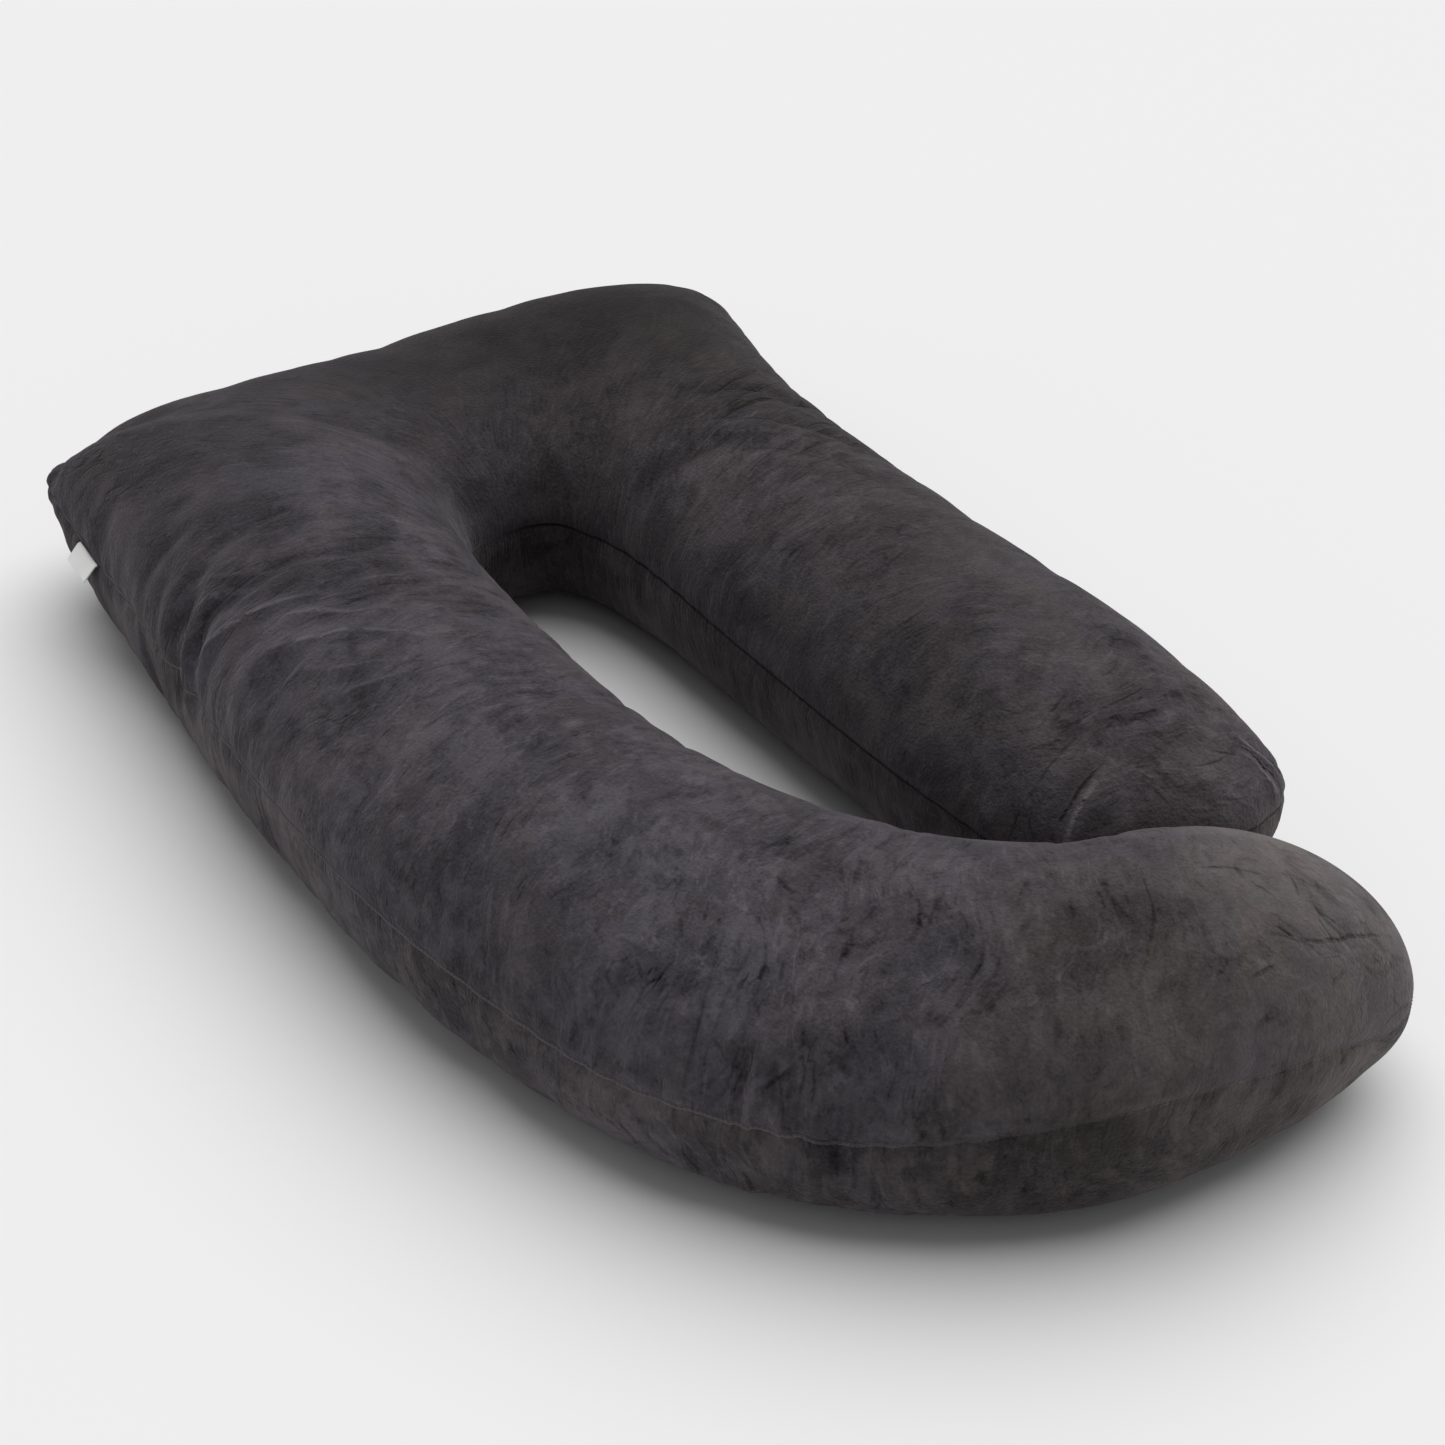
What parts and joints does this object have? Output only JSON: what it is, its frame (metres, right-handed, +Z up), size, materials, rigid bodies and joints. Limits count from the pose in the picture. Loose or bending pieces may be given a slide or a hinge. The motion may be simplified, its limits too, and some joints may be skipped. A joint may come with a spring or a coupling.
{
  "type": "u-shaped pregnancy pillow",
  "caption": "Plump u-shaped pregnancy pillow in charcoal velour, the longer arm hooked across the foot end, with a blank folded label in the side seam.",
  "frame": {"origin": "on the floor, under the middle of the pillow's whole outline", "axes": "+Y from the foot end, where the arms end, to the closed head end; +X across the arms, from the hooked arm to the straight one; +Z up from the floor that the pillow lies on"},
  "size_m": [0.795, 1.3958, 0.2575],
  "materials": {
    "velour": "short pile velour, matt, charcoal with a warm cast",
    "label_cloth": "smooth woven ribbon, off-white, blank"
  },
  "bodies": {
    "root": {"pillow": "velour", "label": "label_cloth"}
  },
  "joints": []
}
